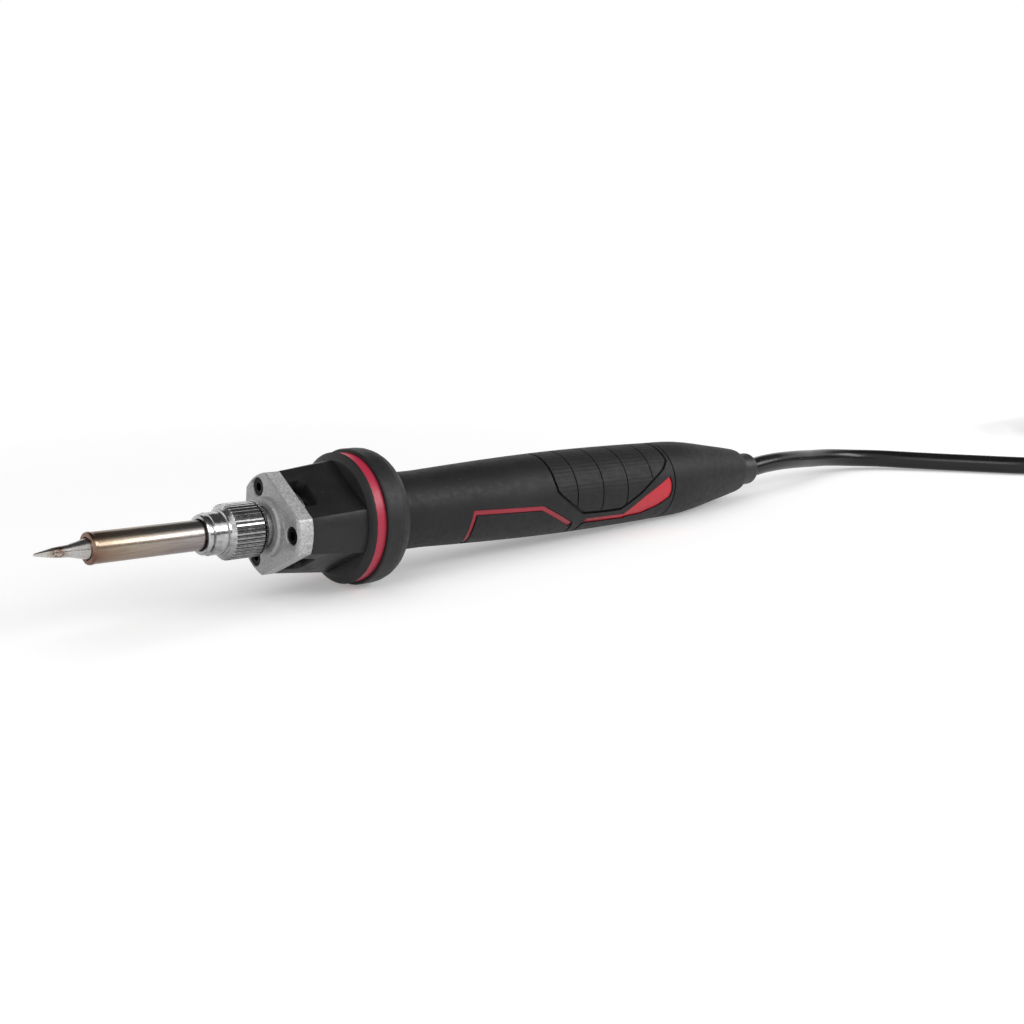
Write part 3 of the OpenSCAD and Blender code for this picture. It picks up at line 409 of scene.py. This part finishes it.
def sleeve_steel():
    """Heat-tinted steel, brown at the hot end and grey at the nut, with streaks along it and painted shade
    below.
    """
    look = Look("sleeve_steel", rough=0.24, metal=1.0)
    v = look.coords()
    shift = look.cloud(look.stretch(v, (0.35, 1.0, 1.0)), 0.35, 3.0, -1.6, 1.6)
    tinted = look.station_ramp(shift, [(SLEEVE_FRONT, (0.19, 0.11, 0.075)), (12.4, (0.26, 0.175, 0.125)),
                                       (15.0, (0.33, 0.26, 0.19)), (20.0, (0.39, 0.335, 0.265)),
                                       (26.0, (0.38, 0.34, 0.30)), (31.0, (0.36, 0.335, 0.315)),
                                       (36.5, (0.37, 0.35, 0.345))])
    streak = look.noise(look.stretch(v, (0.12, 2.2, 2.2)), 1.3, 4.0)
    base = look.mix(look.span(streak, 0.42, 0.7, 0.0, 0.4), tinted, (0.17, 0.125, 0.11))
    # Painted shade: the underside is darkened and turned mauve
    look.set("Base Color", look.shade_below(base, v, SLEEVE_RADIUS, SLEEVE_SHADE_TOP, (0.66, 0.58, 0.60)))
    look.set("Roughness", look.span(streak, *NOISE_RANGE, 0.22, 0.34))
    look.bump(look.rings(v, 5.0, 0.5, 2.0), 0.004, 0.3)
    return look


def nut_chrome():
    """Smudged chrome, with painted shade below and over its flutes, darkest in their valleys."""
    look = Look("nut_chrome", rough=0.12, metal=1.0)
    v = look.coords()
    smudge = look.noise(v, 0.9, 4.0)
    base = look.mix(look.span(smudge, 0.38, 0.7, 0.0, 0.75), (0.58, 0.58, 0.59), (0.24, 0.235, 0.23))
    # Painted shade: the underside is darkened
    base = look.shade_below(base, v, NUT_RADIUS, NUT_SHADE_TOP, (0.42, 0.41, 0.41))
    across, up = look.axis(v, "Y"), look.axis(v, "Z")
    radius = look.math("SQRT", look.math("ADD", look.math("MULTIPLY", across, across),
                                         look.math("MULTIPLY", up, up)))
    ridge = look.span(radius, FLUTE_FLOOR, FLUTE_CREST)
    # Painted shade over the flutes: darkest in their valleys, with the ridges darkened too
    flute_shade = look.mix(ridge, (0.10, 0.10, 0.10), (0.72, 0.72, 0.72))
    fluted = look.span(look.axis(v, "X"), FLUTE_START - FLUTE_BLEND, FLUTE_START + FLUTE_BLEND)
    look.set("Base Color", look.mix(fluted, base, look.mix(1.0, base, flute_shade, "MULTIPLY")))
    look.set("Roughness", look.cloud(v, 1.6, 3.0, 0.13, 0.26))
    look.bump(look.rings(v, 4.0, 0.6, 2.0), 0.006, 0.4)
    return look


def cast_aluminium():
    """Grainy casting with bright specks, greyer on its front face."""
    look = Look("cast_aluminium", rough=0.42, metal=0.45)
    v = look.coords()
    grain = look.noise(v, 1.9, 4.0, 0.7)
    specks = look.voronoi(v, 2.2)
    side = look.span(look.axis(v, "X"), FLANGE_FACE, FLANGE_SIDE)
    base = look.mix(side, (0.40, 0.40, 0.405), (0.62, 0.62, 0.63))
    base = look.mix(look.span(grain, 0.38, 0.62, 0.0, 0.7), base, (0.25, 0.25, 0.255))
    look.set("Base Color", look.mix(look.span(specks, 0.22, 0.05, 0.0, 0.8), base, (0.85, 0.85, 0.87)))
    look.set("Roughness", look.cloud(v, 1.4, 4.0, 0.32, 0.58))
    look.bump(look.math("ADD", grain, look.math("MULTIPLY", specks, 0.6)), 0.12, 0.9)
    return look


def moulded(name, colour, rough, grain_scale, grain_depth, spread=0.25, dust=(0.10, 0.10, 0.105),
            kind="hand", specular=0.5, rib_pitch=0.0):
    """Moulded plastic or rubber: fine grain, faint patches, lighter scuffs and, if asked, ribs along it."""
    look = Look(name, colour, rough, Specular_IOR_Level=specular)
    v = look.coords(kind)
    lighter = tuple(min(1.0, c * (1.0 + spread) + 0.002) for c in colour)
    base = look.mix(look.span(look.noise(v, PATCH_SCALE, 4.0), 0.35, 0.65), colour, lighter)
    scuff = look.noise(look.stretch(v, (0.3, 1.0, 1.0)), SCUFF_SCALE, 6.0, 0.75)
    look.set("Base Color", look.mix(look.span(scuff, 0.60, 0.80, 0.0, SCUFF_SHARE), base, dust))
    look.set("Roughness", look.cloud(v, 0.7, 4.0, rough - ROUGH_SPREAD, rough + ROUGH_SPREAD))
    relief = look.noise(v, grain_scale, 2.0)
    if rib_pitch:
        turn = look.math("ARCTAN2", look.axis(v, "Y"), look.axis(v, "Z"))
        wave = look.math("SINE", look.math("MULTIPLY", turn, 2 * math.pi * PAD_RADIUS / rib_pitch))
        relief = look.math("ADD", relief, look.span(wave, -1.0, 1.0))
    look.bump(relief, grain_depth, 0.6)
    return look


def red_plastic():
    """The core's red: darker with painted shade where it shows as narrow lines, bright at the wide wedge.
    """
    look = moulded("red_plastic", (0.34, 0.012, 0.03), 0.38, 2.6, 0.02, 0.1, (0.4, 0.06, 0.08))
    bright = look.mix(look.noise(look.coords(), 1.2, 4.0), (0.62, 0.010, 0.026), (0.52, 0.012, 0.03))
    wedge = look.span(look.axis(look.coords(), "X"), WEDGE_START, WEDGE_FULL)
    # Painted shade: the red in front of the wedge, seen only as narrow lines down in the slots, is darker
    look.set("Base Color", look.mix(wedge, look.fed_by("Base Color"), bright))
    return look


def wire_sleeving(name, colour):
    """Coloured sleeving, darker in patches."""
    look = Look(name, colour, 0.4)
    mottle = look.cloud(look.coords(), 0.8, 3.0)
    look.set("Base Color", look.mix(mottle, colour, tuple(0.7 * c for c in colour)))
    return look


def cord_jacket():
    """Smooth, slightly glossy jacket."""
    look = Look("cord_jacket", (0.008, 0.008, 0.0085), 0.24, Specular_IOR_Level=0.32)
    v = look.coords("row")
    patches = look.cloud(v, 0.12, 4.0)
    look.set("Base Color", look.mix(patches, (0.006, 0.006, 0.0065), (0.011, 0.011, 0.012)))
    look.set("Roughness", look.cloud(v, 0.5, 4.0, 0.18, 0.28))
    look.bump(look.noise(v, 0.8, 2.0), 0.006, 0.2)
    return look


def tie_strap():
    """Hook-and-loop tape: a nap of small loops with a faint sheen."""
    look = Look("tie_strap", (0.02, 0.02, 0.022), 0.9, Sheen_Weight=0.3)
    loops = look.voronoi(look.coords("row"), 2.2)
    look.set("Base Color", look.ramp(loops, [(0.0, (0.055, 0.055, 0.06)), (0.5, (0.012, 0.012, 0.013))]))
    look.bump(loops, 0.25, 0.8)
    return look


def plug_metal():
    """Nickel plate over turned rings, slightly tarnished."""
    look = Look("plug_metal", (0.62, 0.61, 0.60), 0.25, 1.0)
    v = look.coords("plug")
    tarnish = look.span(look.noise(v, 0.6, 4.0), 0.4, 0.7)
    look.set("Base Color", look.mix(tarnish, (0.62, 0.61, 0.60), (0.45, 0.44, 0.43)))
    look.set("Roughness", look.span(look.rings(v, 5.0, 0.5, 3.0), *NOISE_RANGE, 0.18, 0.34))
    look.bump(look.rings(v, 7.0, 0.5, 2.0), 0.01, 0.5)
    return look


def plain_metal(name, colour, rough):
    """Turned metal with darker patches."""
    look = Look(name, colour, rough, 1.0)
    v = look.coords()
    patches = look.span(look.noise(v, 1.2, 4.0), 0.35, 0.7)
    look.set("Base Color", look.mix(patches, colour, tuple(0.6 * c for c in colour)))
    look.set("Roughness", look.cloud(v, 2.0, 4.0, rough - 0.06, rough + 0.1))
    look.bump(look.rings(v, 6.0, 1.0, 3.0), 0.01, 0.5)
    return look


LOOKS = {
    "tip_metal": tip_metal(),
    "sleeve_steel": sleeve_steel(),
    "nut_chrome": nut_chrome(),
    "steel": plain_metal("steel", (0.55, 0.55, 0.54), 0.3),
    "ceramic": moulded("ceramic", (0.72, 0.70, 0.66), 0.45, 3.0, 0.01, 0.05, (0.5, 0.45, 0.4)),
    "cast_aluminium": cast_aluminium(),
    "black_steel": plain_metal("black_steel", (0.012, 0.012, 0.013), 0.4),
    "housing_plastic": moulded("housing_plastic", (0.010, 0.010, 0.0105), 0.42, 2.4, 0.02, 0.3,
                               specular=0.35),
    "guard_rubber": moulded("guard_rubber", (0.010, 0.010, 0.0105), 0.52, 2.0, 0.03, 0.3, specular=0.35),
    "red_rubber": moulded("red_rubber", (0.42, 0.018, 0.05), 0.40, 2.0, 0.02, 0.1, (0.5, 0.08, 0.1)),
    "red_plastic": red_plastic(),
    "grip_rubber": moulded("grip_rubber", (0.0075, 0.0075, 0.008), 0.55, 2.2, 0.035, 0.35, specular=0.3),
    "pad_rubber": moulded("pad_rubber", (0.0075, 0.0075, 0.008), 0.58, 2.6, 0.05, 0.35, specular=0.3,
                          rib_pitch=PAD_RIB_PITCH),
    "board": moulded("board", (0.02, 0.12, 0.05), 0.35, 2.0, 0.01),
    "connector_plastic": moulded("connector_plastic", (0.7, 0.68, 0.62), 0.5, 2.0, 0.01, 0.05,
                                 (0.6, 0.58, 0.5)),
    "wire_red": wire_sleeving("wire_red", (0.5, 0.03, 0.02)),
    "wire_green": wire_sleeving("wire_green", (0.05, 0.3, 0.05)),
    "wire_blue": wire_sleeving("wire_blue", (0.03, 0.08, 0.4)),
    "cord_jacket": cord_jacket(),
    "tie_strap": tie_strap(),
    "plug_metal": plug_metal(),
    "plug_plastic": moulded("plug_plastic", (0.011, 0.011, 0.012), 0.45, 2.0, 0.02, kind="row"),
    "contact_gold": plain_metal("contact_gold", (0.85, 0.6, 0.25), 0.25),
}


def smooth(mesh, degrees):
    mesh.polygons.foreach_set("use_smooth", [True] * len(mesh.polygons))
    mesh.set_sharp_from_angle(angle=math.radians(degrees))


# Materials of the frame's own nodes

NODE_SLOTS = {
    "soldering_tip": "tip_metal", "tip_sleeve": "sleeve_steel", "sleeve_nut": "nut_chrome",
    "heater_rod": "ceramic", "heater_ferrule": "steel", "heater_leads": "wire_red",
    "threaded_nipple": "steel", "front_flange": "cast_aluminium", "flange_screws": "black_steel",
    "front_housing": "housing_plastic", "guard_ring": "guard_rubber", "red_ring": "red_rubber",
    "handle_core": "red_plastic", "grip_cover": "grip_rubber", "thumb_pad": "pad_rubber",
    "terminal_board": "board", "front_connector": "connector_plastic",
    "rear_connector": "connector_plastic", "earth_wire": "wire_green", "cord_wires": "wire_blue",
    "inner_cord": "cord_jacket", "cord_saddle": "steel", "saddle_screws": "steel",
    "rear_cap": "grip_rubber", "cord_collar": "plug_plastic", "cord_tie": "tie_strap",
    "plug_boot": "plug_plastic", "plug_shell": "plug_metal", "plug_insert": "plug_plastic",
    "plug_contacts": "contact_gold", "plug_screws": "steel", "plug_ring": "plug_metal",
}
for name, slot in NODE_SLOTS.items():
    mesh = NODES[name].data
    mesh.materials.clear()
    mesh.materials.append(LOOKS[slot].mat)
    smooth(mesh, NODE_SMOOTH)

for name, width in EDGE_WIDTHS.items():
    weld = NODES[name].modifiers.new("weld", "WELD")
    weld.merge_threshold = WELD_REACH * MM
    edge = NODES[name].modifiers.new("edge", "BEVEL")
    edge.width = width * MM
    edge.segments = EDGE_SEGMENTS
    edge.limit_method = "ANGLE"
    edge.angle_limit = math.radians(EDGE_ANGLE)


# Cord

def round_cord(name, route, start_along, end_along):
    """A curve of one open spline through the route, with the directions of its two ends given."""
    curve = bpy.data.curves.new(name, "CURVE")
    curve.dimensions = "3D"
    curve.resolution_u = CORD_CURVE_STEPS
    curve.bevel_depth = CORD_R * MM
    curve.bevel_resolution = CORD_BEVEL_STEPS
    curve.use_fill_caps = True
    spline = curve.splines.new("BEZIER")
    last = len(route) - 1
    spline.bezier_points.add(last)
    for i, point in enumerate(spline.bezier_points):
        here, before, after = route[i], route[max(i - 1, 0)], route[min(i + 1, last)]
        along = {0: start_along, last: end_along}.get(i, (after - before).normalized())
        point.co = here
        point.handle_left_type = point.handle_right_type = "FREE"
        point.handle_left = here - along * (here - before).length / 3
        point.handle_right = here + along * (after - here).length / 3
    return add_object(name, curve)


EXIT = place(COLLAR_END)
hank = [hank_point(i / TURN_STEPS) for i in range(round(FLAT_TURNS * TURN_STEPS) + 1)]
hank_start = hank[0] - Vector((CORD_D, 0, 0))
tail_steps = round(TAIL_TURNS * TURN_STEPS)
tail = [tail_point(i / tail_steps) for i in range(1, tail_steps + 1)]
cord_route = [EXIT] + [Vector(p) * MM for p in [*LEAD_ROUTE, hank_start, *hank, *tail]]

exit_along = Vector((math.cos(TILT), 0.0, -math.sin(TILT)))
plug_along = Vector((1.0, 0.0, 0.0))
cord = round_cord("cord", cord_route, exit_along, plug_along)
cord.data.materials.append(LOOKS["cord_jacket"].mat)
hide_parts("cord_lead", "cord_hank", "cord_tail")
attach(cord, "handpiece")


# Strap

def strap_loop():
    """Centre line of the closed band round the far run, in the YZ plane, anticlockwise from below."""
    half = STRAP_WALL / 2
    low_y = HANK_CENTRE[1] + STRAP_INNER + half + STRAP_ROUND
    high_y = HANK_CENTRE[1] + STRAP_OUTER - half - STRAP_ROUND
    low_z = half + STRAP_ROUND
    high_z = STRAP_HEIGHT - half - STRAP_ROUND
    corners = ((high_y, low_z, -90), (high_y, high_z, 0), (low_y, high_z, 90), (low_y, low_z, 180))
    return [(y + STRAP_ROUND * math.cos(math.radians(a)), z + STRAP_ROUND * math.sin(math.radians(a)))
            for y, z, start in corners for a in range(start, start + QUARTER_TURN + 1, STRAP_ARC_STEP)]


def ribbon(name, line, closed, width):
    """A band with rounded long edges along a line in the YZ plane, centred on the middle of the hank.

    Its section is in mm across and in shares of the wall's thickness outwards.
    """
    half, inner = width / 2, width / 6
    face = [(-half + STRAP_EDGE, 0.5), (-inner, 0.5), (inner, 0.5), (half - STRAP_EDGE, 0.5)]
    section = [(-half, 0.0), *face, (half, 0.0), *[(x, -off) for x, off in reversed(face)]]
    count, side = len(line), len(section)
    verts, faces = [], []
    for i, (y, z) in enumerate(line):
        before = line[i - 1] if closed or i else line[0]
        after = line[(i + 1) % count] if closed or i < count - 1 else line[i]
        step = Vector((after[0] - before[0], after[1] - before[1])).normalized()
        out = Vector((step.y, -step.x)) * STRAP_WALL
        verts += [Vector((HANK_CENTRE[0] + x, y + out.x * off, z + out.y * off)) * MM for x, off in section]
    for i in range(count if closed else count - 1):
        j = (i + 1) % count
        for k in range(side):
            m = (k + 1) % side
            faces.append((i * side + k, j * side + k, j * side + m, i * side + m))
    if not closed:
        faces.append(tuple(range(side)))
        faces.append(tuple(reversed(range((count - 1) * side, count * side))))
    mesh = bpy.data.meshes.new(name)
    mesh.from_pydata(verts, [], faces)
    bm = bmesh.new()
    bm.from_mesh(mesh)
    bmesh.ops.recalc_face_normals(bm, faces=bm.faces)
    bm.to_mesh(mesh)
    bm.free()
    smooth(mesh, STRAP_SMOOTH)
    mesh.materials.append(LOOKS["tie_strap"].mat)
    return add_object(name, mesh)


def tab_line():
    """Line of the strap's loose end, which lies on the band's top and lifts at its end."""
    y = HANK_CENTRE[1] + STRAP_INNER + STRAP_ROUND
    z = STRAP_HEIGHT + STRAP_WALL / 2 + TAB_GAP
    return [(y + TAB_STEP * k, z + TAB_LIFT * ease((k - TAB_BEND_START) / TAB_BEND_STEPS))
            for k in range(TAB_POINTS)]


strap = ribbon("hook_and_loop_strap", strap_loop(), True, STRAP_WIDTH)
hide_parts("cord_tie")
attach(strap, "handpiece")

tab = ribbon("strap_tab", tab_line(), False, STRAP_WIDTH - TAB_INSET)
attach(tab, "handpiece")


# Floor, world, cards and lamps

def seen_directly(tree):
    """1 for camera, glossy and transmission rays, else 0."""
    path = add_node(tree, "LightPath").outputs
    seen = path["Is Camera Ray"]
    for kind in ("Is Glossy Ray", "Is Transmission Ray"):
        seen = add_node(tree, "Math", {0: seen, 1: path[kind]}, operation="MAXIMUM").outputs[0]
    return seen


def floor_material():
    """Pale diffuse floor; a direct look sees it lifted to white, more so far from the object."""
    mat = bpy.data.materials.new("floor")
    tree = bare_tree(mat)
    coords = add_node(tree, "TexCoord").outputs["Object"]
    reach = add_node(tree, "VectorMath", {0: coords}, operation="LENGTH").outputs["Value"]
    lift = add_node(tree, "MapRange", {"Value": reach, "From Min": LIFT_START, "From Max": LIFT_END,
                                       "To Min": LIFT_NEAR, "To Max": LIFT_FAR},
                    interpolation_type="SMOOTHSTEP").outputs["Result"]
    strength = add_node(tree, "Math", {0: lift, 1: seen_directly(tree)}, operation="MULTIPLY").outputs[0]
    glow = add_node(tree, "Emission", {"Strength": strength}).outputs[0]
    diffuse = add_node(tree, "BsdfDiffuse", {"Color": (FLOOR_TONE, FLOOR_TONE, FLOOR_TONE)}).outputs[0]
    both = add_node(tree, "AddShader", {0: diffuse, 1: glow}).outputs[0]
    add_node(tree, "OutputMaterial", {"Surface": both})
    return mat


def card_material():
    """Nearly black, whatever light falls on it."""
    mat = bpy.data.materials.new("card")
    tree = bare_tree(mat)
    glow = add_node(tree, "Emission", {"Strength": CARD_GLOW}).outputs[0]
    add_node(tree, "OutputMaterial", {"Surface": glow})
    return mat


def sheet(name, centre, along, up, width, height, mat):
    """A flat rectangle from its centre and the directions of its sides."""
    c = Vector(centre)
    u = Vector(along).normalized() * width / 2
    v = Vector(up).normalized() * height / 2
    mesh = bpy.data.meshes.new(name)
    mesh.from_pydata([c - u - v, c + u - v, c + u + v, c - u + v], [], [(0, 1, 2, 3)])
    mesh.materials.append(mat)
    return add_object(name, mesh)


def lamp(name, at, towards, width, height, watts, glossy=True):
    data = bpy.data.lights.new(name, "AREA")
    data.shape = "RECTANGLE"
    data.size = width
    data.size_y = height
    data.energy = watts
    obj = add_object(name, data)
    at = Vector(at)
    turn = (Vector(towards) - at).to_track_quat("-Z", "Y").to_matrix().to_4x4()
    obj.matrix_world = Matrix.Translation(at) @ turn
    obj.visible_glossy = glossy


sheet("floor", (0, 0, 0), (1, 0, 0), (0, 1, 0), FLOOR_SIDE, FLOOR_SIDE, floor_material())

world = bpy.data.worlds.new("studio")
bpy.context.scene.world = world
world_tree = bare_tree(world)
world_span = add_node(world_tree, "MapRange", {"Value": seen_directly(world_tree), "To Min": WORLD_DIM,
                                               "To Max": WORLD_BRIGHT})
world_back = add_node(world_tree, "Background", {"Color": WHITE, "Strength": world_span.outputs["Result"]})
add_node(world_tree, "OutputWorld", {"Surface": world_back.outputs[0]})

# The cards show in reflections alone
card_mat = card_material()
for name, placing in CARDS.items():
    card = sheet(name, *placing, card_mat)
    card.visible_camera = card.visible_diffuse = card.visible_shadow = card.visible_transmission = False

# Lamps, in metres and watts
lamp("key", at=(0.60, -0.62, 0.48), towards=(0.0, 0.0, 0.02), width=0.7, height=0.3, watts=4.0)
lamp("left", at=(-0.70, -0.45, 0.60), towards=(0.0, 0.0, 0.02), width=0.6, height=0.5, watts=3.0)
lamp("top", at=(0.0, 0.1, 1.0), towards=(0.0, 0.0, 0.0), width=1.0, height=1.0, watts=3.0, glossy=False)

bpy.context.scene.view_settings.view_transform = "Standard"
